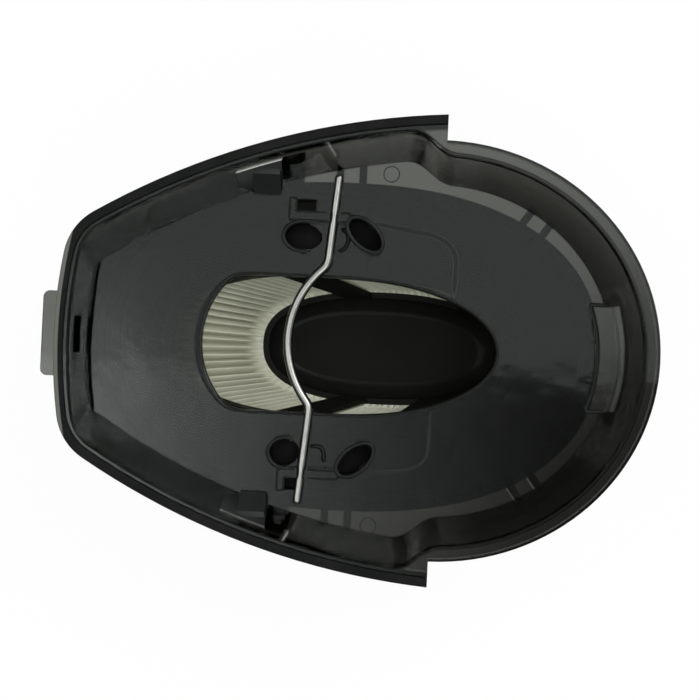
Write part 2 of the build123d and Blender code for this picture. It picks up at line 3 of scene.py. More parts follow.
import bmesh
import bpy
import numpy as np
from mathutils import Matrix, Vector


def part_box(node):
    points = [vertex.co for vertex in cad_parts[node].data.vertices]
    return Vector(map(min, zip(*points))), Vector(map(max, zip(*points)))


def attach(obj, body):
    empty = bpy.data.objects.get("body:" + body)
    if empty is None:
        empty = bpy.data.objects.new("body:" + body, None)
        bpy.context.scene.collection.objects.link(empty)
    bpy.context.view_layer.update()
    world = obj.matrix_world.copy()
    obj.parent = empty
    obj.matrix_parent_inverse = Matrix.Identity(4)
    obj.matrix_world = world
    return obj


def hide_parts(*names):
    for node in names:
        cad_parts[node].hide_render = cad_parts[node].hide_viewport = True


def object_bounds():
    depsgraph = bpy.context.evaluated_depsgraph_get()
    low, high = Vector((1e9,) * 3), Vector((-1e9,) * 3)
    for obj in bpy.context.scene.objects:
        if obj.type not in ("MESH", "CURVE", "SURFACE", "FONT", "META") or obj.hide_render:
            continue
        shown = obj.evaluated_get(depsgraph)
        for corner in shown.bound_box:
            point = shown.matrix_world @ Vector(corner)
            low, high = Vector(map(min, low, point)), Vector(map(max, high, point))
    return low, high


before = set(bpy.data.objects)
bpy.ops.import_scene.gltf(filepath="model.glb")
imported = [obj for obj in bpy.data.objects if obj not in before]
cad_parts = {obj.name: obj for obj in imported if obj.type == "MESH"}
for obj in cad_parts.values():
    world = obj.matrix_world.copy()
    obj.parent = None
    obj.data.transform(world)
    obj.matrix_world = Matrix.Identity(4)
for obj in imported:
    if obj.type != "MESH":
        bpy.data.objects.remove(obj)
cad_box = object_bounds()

# Shroud: the oval outer cup that keeps coarse dirt off the pleats, moulded in black plastic.
# Its faces have a fine spark-eroded texture, a little greyer where handling has polished it.
# Its two hooks snap through slots in the tray wall, and the unit lies on its flat base.


class Field:
    """A value that varies over a surface. It wraps a node's socket, and sums with it add Math nodes."""

    def __init__(self, finish, socket):
        self.finish = finish
        self.socket = socket

    def sum_of(self, operation, first, second=0.0):
        return self.finish.node("ShaderNodeMath", {"operation": operation}, {0: first, 1: second})

    def __add__(self, other):
        return self.sum_of("ADD", self, other)

    def __radd__(self, other):
        return self.sum_of("ADD", other, self)

    def __sub__(self, other):
        return self.sum_of("SUBTRACT", self, other)

    def __rsub__(self, other):
        return self.sum_of("SUBTRACT", other, self)

    def __mul__(self, other):
        return self.sum_of("MULTIPLY", self, other)

    def __rmul__(self, other):
        return self.sum_of("MULTIPLY", other, self)

    def __pow__(self, other):
        return self.sum_of("POWER", self, other)


class Finish:
    """One material: a Principled shader whose constant sockets are set directly."""

    def __init__(self, name, **constants):
        self.material = bpy.data.materials.new(name)
        self.material.use_nodes = True
        self.tree = self.material.node_tree
        self.shader = self.tree.nodes["Principled BSDF"]
        self.output = self.tree.nodes["Material Output"]
        for socket, value in constants.items():
            self.shader.inputs[socket.replace("_", " ")].default_value = value

    def node(self, kind, settings=None, inputs=None, output=0):
        """Adds a node. Its settings come first, then a number, colour or Field for each named input."""
        made = self.tree.nodes.new(kind)
        for key, value in (settings or {}).items():
            setattr(made, key, value)
        for key, value in (inputs or {}).items():
            socket = made.inputs[key] if isinstance(key, int) else self.find(made.inputs, key)
            self.join(value, socket)
        found = made.outputs[output] if isinstance(output, int) else self.find(made.outputs, output)
        return Field(self, found)

    @staticmethod
    def find(sockets, key):
        return next(socket for socket in sockets if key in (socket.identifier, socket.name))

    def join(self, value, socket):
        if isinstance(value, Field):
            self.tree.links.new(value.socket, socket)
        else:
            socket.default_value = value

    def feed(self, socket, value):
        self.join(value, self.shader.inputs[socket])

    def place(self, scale=(1, 1, 1), turn=(0, 0, 0)):
        """Object coordinates in metres, stretched and turned."""
        point = self.node("ShaderNodeTexCoord", output="Object")
        sizes = {"Vector": point, "Scale": scale, "Rotation": turn}
        return self.node("ShaderNodeMapping", {"vector_type": "POINT"}, sizes)

    def noise(self, scale, detail=2.0, where=None):
        """Soft noise from 0 to 1 with features of about 1/scale metres."""
        sizes = {"Vector": where or self.place(), "Scale": scale, "Detail": detail}
        return self.node("ShaderNodeTexNoise", {}, sizes, "Fac")

    def spread(self, value, low, high, first=0.0, last=1.0):
        """Stretches the part of a value between low and high to the range first to last."""
        ends = {"Value": value, "From Min": low, "From Max": high, "To Min": first, "To Max": last}
        return self.node("ShaderNodeMapRange", {"clamp": True}, ends)

    def blend(self, factor, first, last):
        """Colour between two colours."""
        colours = {"Factor_Float": factor, "A_Color": first, "B_Color": last}
        return self.node("ShaderNodeMix", {"data_type": "RGBA"}, colours, "Result_Color")

    def bump(self, height, distance):
        """Raises the surface by a height from 0 to 1 times a distance in metres."""
        raised = {"Height": height, "Distance": distance, "Strength": 1.0}
        self.feed("Normal", self.node("ShaderNodeBump", {}, raised))


def dress(node, finish):
    """Gives a CAD node a finish of its own."""
    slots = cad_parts[node].data.materials
    slots.clear()
    slots.append(finish.material)


SHROUD_BLACK = (0.016, 0.017, 0.017, 1)
SHROUD_WORN = (0.034, 0.035, 0.034, 1)
SHROUD_GRAIN = 5200

shroud_finish = Finish("satin_black_plastic", IOR=1.5, Specular_IOR_Level=0.25)
shroud_grain = shroud_finish.noise(SHROUD_GRAIN, 3)
shroud_wear = shroud_finish.noise(60, 4)
shroud_finish.feed("Base Color", shroud_finish.blend(shroud_wear, SHROUD_BLACK, SHROUD_WORN))
shroud_finish.feed("Roughness", 0.34 + 0.16 * shroud_grain + 0.1 * shroud_wear)
shroud_finish.bump(shroud_grain, 0.00006)
dress("shroud", shroud_finish)

# Mesh sleeve: fine woven steel wire inside the shroud's windows, one strip bent to the oval and
# heat-staked behind the bars. The weave is left open, so that the pleats show behind it.


def oval(centre, length, width, power, angle, grow):
    """Superellipse: half of each size plus a growth, times the cosine or sine to the power 2/n, with its
    sign."""
    across = np.abs(np.cos(angle)) ** (2 / power) * np.sign(np.cos(angle))
    up = np.abs(np.sin(angle)) ** (2 / power) * np.sign(np.sin(angle))
    return centre + across * (length / 2 + grow), up * (width / 2 + grow)


def even_angles(size, count):
    """Angles that cut a superellipse into stretches of even length."""
    angle = np.linspace(0, 2 * np.pi, 20001)
    x, y = oval(*size, angle, 0.0)
    passed = np.concatenate([[0.0], np.cumsum(np.hypot(np.diff(x), np.diff(y)))])
    return np.interp(np.arange(count) / count * passed[-1], passed, angle)


def ring_surface(name, points):
    """Mesh of a grid of points, rows by columns, closed round its columns, with a UV map over the grid."""
    rows, columns = points.shape[:2]
    row, column = np.meshgrid(np.arange(rows - 1), np.arange(columns), indexing="ij")
    beside = (column + 1) % columns
    corners = [row * columns + column, row * columns + beside]
    corners += [(row + 1) * columns + beside, (row + 1) * columns + column]
    faces = np.stack(corners, -1).reshape(-1, 4)
    across = np.stack([column, column + 1, column + 1, column], -1) / columns
    along = np.stack([row, row, row + 1, row + 1], -1) / (rows - 1)
    mesh = bpy.data.meshes.new(name)
    mesh.from_pydata(points.reshape(-1, 3).tolist(), [], faces.tolist())
    uv = mesh.uv_layers.new(name="grid")
    uv.data.foreach_set("uv", np.stack([across, along], -1).astype(np.float32).ravel())
    mesh.polygons.foreach_set("use_smooth", np.ones(len(faces), bool))
    piece = bpy.data.objects.new(name, mesh)
    bpy.context.scene.collection.objects.link(piece)
    return piece


SHROUD_TOP = (-0.0006, 0.122, 0.079, 2.3)
SHROUD_BASE = (0.008, 0.076, 0.046, 2.3)
SHROUD_DEPTH = 0.040
SLEEVE_INSET = 0.00235
SLEEVE_ROWS = 13
SLEEVE_COLUMNS = 240
WEAVE_PITCH = 0.0011
WEAVE_OPEN = 0.62
MESH_STEEL = (0.30, 0.30, 0.29, 1)
MESH_DUSTY = (0.21, 0.20, 0.185, 1)

mesh_low, mesh_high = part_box("shroud_mesh")
sleeve_z = np.linspace(mesh_low.z, mesh_high.z, SLEEVE_ROWS)[:, None]
sleeve_share = sleeve_z / SHROUD_DEPTH
sleeve_size = [base + (top - base) * sleeve_share for base, top in zip(SHROUD_BASE, SHROUD_TOP)]
sleeve_angle = even_angles([value.mean() for value in sleeve_size], SLEEVE_COLUMNS)[None, :]
sleeve_x, sleeve_y = oval(*sleeve_size, sleeve_angle, -SLEEVE_INSET)
sleeve_points = np.stack([sleeve_x, sleeve_y, np.broadcast_to(sleeve_z, sleeve_x.shape)], -1)
sleeve = ring_surface("mesh_sleeve", sleeve_points)
sleeve_round = np.hypot(*np.diff(sleeve_points[SLEEVE_ROWS // 2, :, :2], axis=0).T).sum()

mesh_finish = Finish("woven_steel_mesh", Metallic=1.0, Roughness=0.38)
weave = mesh_finish.node("ShaderNodeUVMap", {"uv_map": "grid"}, {}, "UV")
weave_counts = (round(sleeve_round / WEAVE_PITCH), round((mesh_high.z - mesh_low.z) / WEAVE_PITCH), 1)
weave = mesh_finish.node("ShaderNodeVectorMath", {"operation": "MULTIPLY"}, {0: weave, 1: weave_counts})
weave = mesh_finish.node("ShaderNodeVectorMath", {"operation": "FRACTION"}, {0: weave})
warp = mesh_finish.node("ShaderNodeSeparateXYZ", {}, {0: weave}, "X")
weft = mesh_finish.node("ShaderNodeSeparateXYZ", {}, {0: weave}, "Y")
warp_wire = warp.sum_of("GREATER_THAN", warp, WEAVE_OPEN)
weft_wire = weft.sum_of("GREATER_THAN", weft, WEAVE_OPEN)
mesh_finish.feed("Alpha", warp_wire.sum_of("MAXIMUM", warp_wire, weft_wire))
mesh_dust = mesh_finish.noise(90, 4)
mesh_finish.feed("Base Color", mesh_finish.blend(mesh_dust, MESH_STEEL, MESH_DUSTY))
mesh_finish.bump(warp * (1 - warp) + weft * (1 - weft), 0.0002)
sleeve.data.materials.append(mesh_finish.material)
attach(sleeve, "filter_body")
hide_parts("shroud_mesh")

# Nose lip: a short tongue of the shroud's rim under the tray's latch slot, in the same satin black. It is
# painted shade: it keeps the slot dark where the white table would show through it.


def weld(piece):
    """Joins the points that meet at a pole or a seam."""
    body = bmesh.new()
    body.from_mesh(piece.data)
    bmesh.ops.remove_doubles(body, verts=body.verts, dist=1e-7)
    body.to_mesh(piece.data)
    body.free()


def polygon(corners):
    """Closed outline with straight sides, each cut into eight even steps from one corner to the next."""
    corners = np.array(corners)
    share = np.linspace(0, 1, 9)[:-1, None]
    following = np.roll(corners, -1, axis=0)
    return np.concatenate([here + (there - here) * share for here, there in zip(corners, following)])


def plate(name, outline, low, high, edge, finish):
    """Flat plate inside a closed outline: from the middle of its underside out to the outline, up its
    side and back to the middle of its top, with its rims drawn in by a small edge."""
    middle = outline.mean(axis=0)
    drawn_in = 1 - edge / np.abs(outline - middle).max()
    rows = [(0, low), (drawn_in, low), (1, low + edge), (1, high - edge), (drawn_in, high), (0, high)]
    points = []
    for share, z in rows:
        row = middle + (outline - middle) * share
        points.append(np.column_stack([row, np.full(len(outline), z)]))
    piece = ring_surface(name, np.array(points))
    weld(piece)
    piece.data.materials.append(finish.material)
    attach(piece, "filter_body")


NOSE_SHADE_LIP = ((-0.0719, 0.0055), (-0.0719, -0.0055), (-0.0640, -0.0055), (-0.0640, 0.0055))
NOSE_SHADE_LIP_TOP = 0.0397
NOSE_SHADE_LIP_DEPTH = 0.0027
PLATE_EDGE = 0.0003

# Painted shade: a black tongue under the latch slot, so that the slot looks dark.
nose_shade_lip_low = NOSE_SHADE_LIP_TOP - NOSE_SHADE_LIP_DEPTH
plate("nose_shade_lip", polygon(NOSE_SHADE_LIP), nose_shade_lip_low, NOSE_SHADE_LIP_TOP, PLATE_EDGE, shroud_finish)

# Hook ledges: two short steps of the shroud's rim that carry the hooks, seen through the hook slots.
# They are moulded with the shroud, and their faces are greyer and smoother.

SIDES = {"upper": 1, "lower": -1}
LEDGE_GREY = (0.075, 0.077, 0.071, 1)
LEDGE_MIDDLE = (-0.0246, 0.0441)
LEDGE_SLOPE = math.radians(18)
LEDGE_HALF = (0.0068, 0.0015)
LEDGE_LOW = 0.0371
LEDGE_TOP = 0.0396

ledge_finish = Finish("grey_satin_plastic", IOR=1.5, Roughness=0.4)
ledge_cloud = ledge_finish.noise(200, 4)
ledge_finish.feed("Base Color", ledge_finish.blend(ledge_cloud, SHROUD_WORN, LEDGE_GREY))
ledge_finish.bump(ledge_finish.noise(SHROUD_GRAIN, 3), 0.00004)
for side, sign in SIDES.items():
    along = np.array([math.cos(LEDGE_SLOPE), sign * math.sin(LEDGE_SLOPE)]) * LEDGE_HALF[0]
    beside = np.array([-along[1], along[0]]) * LEDGE_HALF[1] / LEDGE_HALF[0]
    centre = np.array([LEDGE_MIDDLE[0], sign * LEDGE_MIDDLE[1]])
    ledge = polygon(centre + np.array([along + beside, beside - along, -along - beside, along - beside]))
    plate("hook_ledge_" + side, ledge, LEDGE_LOW, LEDGE_TOP, PLATE_EDGE, ledge_finish)

# Media cage: one glossy black moulding that carries the pleats. It has a plate under the tray floor,
# two struts, and a smooth scoop that runs down into a round-bottomed dish.

CAGE_BLACK = (0.0055, 0.0065, 0.006, 1)
CAGE_FILM = (0.013, 0.012, 0.0095, 1)

cage_finish = Finish("glossy_black_plastic", IOR=1.49, Specular_IOR_Level=0.05)
cage_film = cage_finish.noise(45, 5)
cage_flow = cage_finish.noise(900, 3)
cage_finish.feed("Base Color", cage_finish.blend(cage_film, CAGE_BLACK, CAGE_FILM))
cage_finish.feed("Roughness", 0.16 + 0.12 * cage_film + 0.05 * cage_flow)
cage_finish.bump(cage_flow, 0.000015)
dress("media_cage", cage_finish)

# Pleated media: cream non-woven cloth, folded lengthwise round the cage and glued at both ends.
# The folds are rounded and a little uneven, and run out into a smooth glued band at the dish. Their
# colour is painted darker with the depth of each fold, as painted shade in the creases.

MOUTH = (-0.0042, 0.0834, 0.0376, 2.6)
DISH = (0.0083, 0.061, 0.0286, 2.4)
PLEATS = 92
FOLD_STEPS = 12
FOLD_ROWS = 30
FOLD_END_GAP = 0.00002
FOLD_SEED = 7
FOLD_DRIFT = 0.06
FOLD_SHARPNESS = 0.985
FOLD_REACH = (0.9, 1.0)
FOLD_INNER = 0.00012
FOLD_OUTER = 0.00345
GLUE_BAND = 0.06
CLOTH_CREAM = (0.75, 0.74, 0.615, 1)
CLOTH_SHADE = (0.64, 0.63, 0.51, 1)
CLOTH_CREASE_SHADE = (0.25, 0.24, 0.172, 1)

media_low, media_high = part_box("pleated_media")
flange_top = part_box("element_gasket")[0].z
fold_up = np.linspace(0, 1, FOLD_ROWS)[:, None]
fold_height = media_high.z - media_low.z - 2 * FOLD_END_GAP
fold_z = media_low.z + FOLD_END_GAP + fold_height * fold_up
fold_share = (flange_top - fold_z) / (flange_top - media_low.z)
fold_size = [top + (low - top) * fold_share for top, low in zip(MOUTH, DISH)]
fold_angle = even_angles([value.mean() for value in fold_size], PLEATS * FOLD_STEPS)[None, :]
uneven = np.random.default_rng(FOLD_SEED)
turn = np.arange(PLEATS * FOLD_STEPS) / FOLD_STEPS
drift = uneven.normal(0, FOLD_DRIFT, PLEATS)
fold_phase = np.interp(turn, np.arange(PLEATS + 1), np.append(drift, drift[0]))
fold_wave = 0.5 + np.arcsin(FOLD_SHARPNESS * np.sin(2 * np.pi * (turn + fold_phase))) / np.pi
fold_reach = np.repeat(uneven.uniform(*FOLD_REACH, PLEATS), FOLD_STEPS)
fold_open = np.clip(fold_up / GLUE_BAND, 0, 1)
fold_open = fold_open * fold_open * (3 - 2 * fold_open)
fold_grow = FOLD_INNER + (FOLD_OUTER - FOLD_INNER) * (fold_wave * fold_reach)[None, :] * fold_open
fold_x, fold_y = oval(*fold_size, fold_angle, fold_grow)
fold_points = np.stack([fold_x, fold_y, np.broadcast_to(fold_z, fold_x.shape)], -1)
folds = ring_surface("folded_cloth", fold_points)
fold_depth = folds.data.attributes.new("fold_depth", "FLOAT", "POINT")
fold_depth.data.foreach_set("value", (fold_wave[None, :] * fold_open).astype(np.float32).ravel())

cloth_finish = Finish("cream_filter_cloth", Roughness=0.92, Specular_IOR_Level=0.2)
cloth_fibre = cloth_finish.noise(5200, 4, cloth_finish.place((1, 1, 0.35)))
cloth_cloud = cloth_finish.noise(140, 4)
cloth_tone = cloth_finish.spread(0.55 * cloth_fibre + 0.45 * cloth_cloud, 0.35, 0.68)
# Painted shade: the cloth's colour goes darker with the depth of each fold, as shade in the creases.
crease_shade_mask = cloth_finish.node("ShaderNodeAttribute", {"attribute_name": "fold_depth"}, {}, "Fac")
cloth_colour = cloth_finish.blend(cloth_tone, CLOTH_SHADE, CLOTH_CREAM)
cloth_finish.feed("Base Color", cloth_finish.blend(crease_shade_mask ** 1.3 * 0.85, cloth_colour, CLOTH_CREASE_SHADE))
cloth_finish.bump(cloth_fibre, 0.00008)
folds.data.materials.append(cloth_finish.material)
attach(folds, "filter_body")
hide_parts("pleated_media")

# Element gasket: a flat ring of black closed-cell foam, squeezed between the cage flange and the floor.
# Four small pads of the same foam sit behind the core holes beside the clips, as painted shade that
# makes the holes look black.


def turned_oval(x, y, long_half, short_half, turned, angle):
    """Ellipse about a point: its half sizes times the cosine and sine of an angle, turned by degrees."""
    cosine, sine = math.cos(math.radians(turned)), math.sin(math.radians(turned))
    flat_x, flat_y = long_half * np.cos(angle), short_half * np.sin(angle)
    return np.column_stack([x + cosine * flat_x - sine * flat_y, y + sine * flat_x + cosine * flat_y])


GASKET_BLACK = (0.004, 0.004, 0.004, 1)
GASKET_PORE = (0.012, 0.012, 0.0115, 1)
CORE_HOLES = {
    "upper_lobe": (-0.0124, 0.0262, 0.0044, 0.0032, 0),
    "lower_lobe": (-0.0146, -0.0262, 0.0035, 0.0032, 0),
    "upper_petal": (0.0024, 0.0272, 0.0048, 0.0025, -42),
    "lower_petal": (0.0024, -0.0272, 0.0048, 0.0025, 42),
}
SHADE_PAD_GAP = 0.00005
SHADE_PAD_EDGE = 0.00015
SHADE_PAD_LOW = 0.04002
SHADE_PAD_HIGH = 0.0405

gasket_finish = Finish("black_foam", Roughness=0.9, Specular_IOR_Level=0.1)
gasket_cell = gasket_finish.noise(3600, 3)
gasket_finish.feed("Base Color", gasket_finish.blend(gasket_cell, GASKET_BLACK, GASKET_PORE))
gasket_finish.bump(gasket_cell, 0.00012)
dress("element_gasket", gasket_finish)

# Painted shade: black pads just under the core holes, so that the holes look black.
shade_pad_angle = np.linspace(0, 2 * np.pi, 64, endpoint=False)
for hole, (x, y, long_half, short_half, turned) in CORE_HOLES.items():
    shade_pad = turned_oval(x, y, long_half - SHADE_PAD_GAP, short_half - SHADE_PAD_GAP, turned, shade_pad_angle)
    plate("shade_pad_" + hole, shade_pad, SHADE_PAD_LOW, SHADE_PAD_HIGH, SHADE_PAD_EDGE, gasket_finish)

# Tray: one injection moulding in smoke-grey clear plastic, polished inside. Light that crosses two
# millimetres of it keeps about a tenth, so it is dark wherever the shroud or a long wall lies behind.

SMOKE_DENSITY = 1230.0
SMOKE_TINT = (0.045, 0.05, 0.0, 1)
FLOOR_TOP = 0.042

smoke_finish = Finish("smoke_clear_plastic", IOR=1.5, Transmission_Weight=1.0)
smoke_finish.shader.inputs["Base Color"].default_value = (1, 1, 1, 1)
smoke_haze = smoke_finish.noise(70, 5)
smoke_scuff = smoke_finish.noise(2400, 3, smoke_finish.place((1, 0.25, 1), (0, 0, 0.6)))
smoke_finish.feed("Roughness", 0.028 + 0.02 * smoke_haze + 0.012 * smoke_scuff)
smoke_finish.bump(smoke_haze, 0.00007)
smoke_body = smoke_finish.tree.nodes.new("ShaderNodeVolumeAbsorption")
smoke_body.inputs["Color"].default_value = SMOKE_TINT
smoke_body.inputs["Density"].default_value = SMOKE_DENSITY
smoke_finish.tree.links.new(smoke_body.outputs["Volume"], smoke_finish.output.inputs["Volume"])
dress("filter_housing", smoke_finish)

# Clip edges: rounded rims of the lobes and petals of the two wire clips and of the bars beside them, with
# a small curved tongue between each lobe and petal. They belong to the tray's moulding, and are dark
# because so much plastic lies under them.


def bead(name, path, half_width, half_height, z, finish, slot="smoke_plastic"):
    """Tube along a path in the plane: an ellipse across it, half_width to the left and right of the
    path and half_height above and below z. It closes to a point at the ends of an open path."""
    ahead = np.gradient(path, axis=0)
    closed = np.allclose(path[0], path[-1])
    if closed:
        ahead[0] = ahead[-1] = path[1] - path[-2]
    ahead /= np.linalg.norm(ahead, axis=1, keepdims=True)
    leftwards = np.stack([-ahead[:, 1], ahead[:, 0]], -1)
    share = np.linspace(-1, 1, len(path))
    size = np.ones(len(path)) if closed else np.sqrt(np.clip(1 - share ** 12, 0, 1))
    section = np.linspace(0, 2 * np.pi, BEAD_SIDES, endpoint=False)
    across = (size * half_width)[:, None] * np.cos(section)
    plan = path[:, None] + leftwards[:, None] * across[..., None]
    height = z + (size * half_height)[:, None] * np.sin(section)
    piece = ring_surface(name, np.concatenate([plan, height[..., None]], -1))
    weld(piece)
    piece.data.materials.append(finish.material)
    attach(piece, "filter_body")


def evenly_along(points, count):
    """Points set evenly along the straight lines from each given point to the next."""
    corners = np.array(points)
    lengths = np.concatenate([[0], np.cumsum(np.linalg.norm(np.diff(corners, axis=0), axis=1))])
    along = np.linspace(0, lengths[-1], count)
    return np.column_stack([np.interp(along, lengths, corners[:, axis]) for axis in (0, 1)])


def softened(path, passes):
    """Open path with its corners rounded: each point moves towards the mean of its neighbours, in so
    many passes, with the two ends held."""
    path = path.copy()
    for smoothing in range(passes):
        path[1:-1] = (path[:-2] + 2 * path[1:-1] + path[2:]) / 4
    return path


EDGE_SMOKE = (0.006, 0.007, 0.0065, 1)
EDGE_WORN = (0.016, 0.017, 0.016, 1)
BEAD_SIDES = 16
CLIP_TOP = 0.047
CLIP_WALL = 0.001
CLIP_CROWN = 0.0004
LOBE_OPEN = 0.0016
BAR_NEAR_Y = 0.0301
BAR_FAR_Y = 0.0321
BAR_LEFT_X = -0.0161
BAR_RIGHT_X = -0.0014
LEG_RIGHT_X = -0.0145
LEG_FAR_Y = 0.0353
WIRE_GAPS = {"upper": (-0.0068, -0.0038), "lower": (-0.0120, -0.0090)}
BAR_EDGE = (0.00026, 0.0003)
BAR_SMOOTHING = 3
CLIP_TONGUES = {
    "upper": (
        (-0.0040, 0.0230), (-0.0023, 0.0238), (-0.0015, 0.0260), (-0.0021, 0.0282), (-0.0035, 0.0286),
    ),
    "lower": (
        (-0.0086, -0.0247), (-0.0066, -0.0245), (-0.0054, -0.0251), (-0.0051, -0.0266), (-0.0051, -0.0285),
    ),
}
TONGUE = (0.0006, 0.0011)
TONGUE_SMOOTHING = 30

edge_finish = Finish("smoke_plastic_edge", IOR=1.5, Specular_IOR_Level=0.12)
edge_cloud = edge_finish.noise(300, 4)
edge_finish.feed("Base Color", edge_finish.blend(edge_cloud, EDGE_SMOKE, EDGE_WORN))
edge_finish.feed("Roughness", 0.1 + 0.12 * edge_cloud)
edge_finish.bump(edge_finish.noise(1800, 3), 0.00002)

for side in SIDES:
    x, y, long_half, short_half, turned = CORE_HOLES[side + "_petal"]
    around = np.linspace(0, 2 * np.pi, 97)
    petal = turned_oval(x, y, long_half + CLIP_WALL / 2, short_half + CLIP_WALL / 2, turned, around)
    bead("petal_bead_" + side, petal, CLIP_WALL / 2, CLIP_CROWN, CLIP_TOP, edge_finish)
for side in SIDES:
    x, y, long_half, short_half, turned = CORE_HOLES[side + "_lobe"]
    gape = math.acos(LOBE_OPEN / (long_half + CLIP_WALL / 2))
    around = np.linspace(gape, 2 * np.pi - gape, 73)
    lobe = turned_oval(x, y, long_half + CLIP_WALL / 2, short_half + CLIP_WALL / 2, turned, around)
    bead("lobe_bead_" + side, lobe, CLIP_WALL / 2, CLIP_CROWN, CLIP_TOP, edge_finish)

for side, sign in SIDES.items():
    gap_left, gap_right = WIRE_GAPS[side]
    left_edge = [
        (gap_left, BAR_NEAR_Y), (BAR_LEFT_X, BAR_NEAR_Y), (BAR_LEFT_X, LEG_FAR_Y),
        (LEG_RIGHT_X, LEG_FAR_Y), (LEG_RIGHT_X, BAR_FAR_Y), (gap_left, BAR_FAR_Y),
    ]
    right_edge = [
        (gap_right, BAR_NEAR_Y), (BAR_RIGHT_X, BAR_NEAR_Y),
        (BAR_RIGHT_X, BAR_FAR_Y), (gap_right, BAR_FAR_Y),
    ]
    for end, edge, count in (("left", left_edge, 160), ("right", right_edge, 80)):
        run = softened(evenly_along(np.array(edge) * (1, sign), count), BAR_SMOOTHING)
        bead(f"bar_edge_{side}_{end}", run, *BAR_EDGE, CLIP_TOP, edge_finish)
    tongue = softened(evenly_along(CLIP_TONGUES[side], 60), TONGUE_SMOOTHING)
    bead("clip_tongue_" + side, tongue, *TONGUE, FLOOR_TOP, edge_finish)

# Pocket rim: the rounded top edge of the pocket at the round end of the tray, part of the same moulding.
# It is two straight runs from the outside with an arc between them.

POCKET_CENTRE_X = 0.0205
POCKET_ARC = (0.03977, 0.03697)
POCKET_HALF_WIDTH = 0.0130
POCKET_OUTER_X = 0.0640
POCKET_TOP = 0.0436
POCKET_EDGE = (0.0005, 0.0003)
POCKET_SMOOTHING = 4

pocket_turn = math.asin(POCKET_HALF_WIDTH / POCKET_ARC[1])
pocket_arc = np.linspace(-pocket_turn, pocket_turn, 61)
pocket_x = POCKET_CENTRE_X + POCKET_ARC[0] * np.cos(pocket_arc)
pocket_inner = np.column_stack([pocket_x, POCKET_ARC[1] * np.sin(pocket_arc)])
pocket_run = np.linspace(0, 1, 24)[:-1, None]
pocket_low = np.array([POCKET_OUTER_X, -POCKET_HALF_WIDTH])
pocket_high = np.array([POCKET_OUTER_X, POCKET_HALF_WIDTH])
pocket_start = pocket_low + (pocket_inner[0] - pocket_low) * pocket_run
pocket_stop = pocket_high + (pocket_inner[-1] - pocket_high) * pocket_run[::-1]
pocket = softened(np.concatenate([pocket_start, pocket_inner, pocket_stop]), POCKET_SMOOTHING)
bead("pocket_rim", pocket, *POCKET_EDGE, POCKET_TOP, edge_finish)

# Floor lines: low matt dark lines on the tray's floor, as painted shade along the outline of the locating
# wall behind it, and two round marks of ejector pins that are part of the moulding. They stand a few
# hundredths of a millimetre proud.

SHADE_LINE_AND_PIN_GREY = (0.032, 0.034, 0.032, 1)
SHADE_LINES = {
    "upper": ((0.0027, 0.0306), (0.0175, 0.0284), (0.0249, 0.0270), (0.02485, 0.0210), (0.02475, 0.0131)),
    "lower": ((0.0015, -0.0312), (0.0145, -0.0294), (0.0200, -0.0286), (0.0201, -0.0235), (0.0204, -0.0148)),
}
SHADE_LINE_HALF_WIDTH = {"upper": 0.0007, "lower": 0.0004}
SHADE_LINE_HALF_HEIGHT = 0.0002
SHADE_LINE_SUNK = 0.00014
PIN_MARKS = {"upper": (0.0082, 0.0425), "lower": (0.0064, -0.0433)}
PIN_RADIUS = 0.0019
PIN_EDGE = (0.00012, 0.0001)
PIN_SUNK = 0.00007

shade_line_and_pin_finish = Finish("smoke_plastic_shade_line_and_pin_mark", IOR=1.5, Specular_IOR_Level=0.1, Roughness=0.75)
shade_line_and_pin_cloud = shade_line_and_pin_finish.noise(400, 4)
shade_line_and_pin_finish.feed("Base Color", shade_line_and_pin_finish.blend(shade_line_and_pin_cloud, EDGE_WORN, SHADE_LINE_AND_PIN_GREY))
shade_line_and_pin_finish.bump(shade_line_and_pin_cloud, 0.00002)

# Painted shade: dark matt lines along the outline of the locating wall behind the floor.
for side, points in SHADE_LINES.items():
    start, bend, corner, leave, stop = np.array(points)
    run = np.linspace(0, 1, 40)[:, None]
    shade_line_bend = (1 - run) ** 2 * bend + 2 * run * (1 - run) * corner + run ** 2 * leave
    shade_line = np.concatenate([start + (bend - start) * run[:-1], shade_line_bend, leave + (stop - leave) * run[1:]])
    shade_line_z = FLOOR_TOP - SHADE_LINE_SUNK
    bead("floor_shade_line_" + side, shade_line, SHADE_LINE_HALF_WIDTH[side], SHADE_LINE_HALF_HEIGHT, shade_line_z, shade_line_and_pin_finish)
for side, (x, y) in PIN_MARKS.items():
    pin = turned_oval(x, y, PIN_RADIUS, PIN_RADIUS, 0, np.linspace(0, 2 * np.pi, 65))
    bead("pin_mark_" + side, pin, *PIN_EDGE, FLOOR_TOP - PIN_SUNK, shade_line_and_pin_finish)

# Window lip: the rounded edge of the tray's long oval window, part of the same moulding and as dark as the
# clip edges. It is twice as wide at the left end.

WINDOW_LEFT_X = -0.0363
WINDOW_LEFT_RADIUS = 0.0213
WINDOW_HALF_WIDTH = 0.0165
WINDOW_RIGHT_X = 0.036
WINDOW_SMOOTHING = 24
LIP_HALF_WIDTH = 0.00055
LIP_LEFT_MORE = 0.00055
LIP_LEFT_FROM = 0.026
LIP_LEFT_RUN = 0.009
LIP_OVERHANG = 0.00012
LIP_HALF_HEIGHT = 0.0011
LIP_RISE = 0.0002

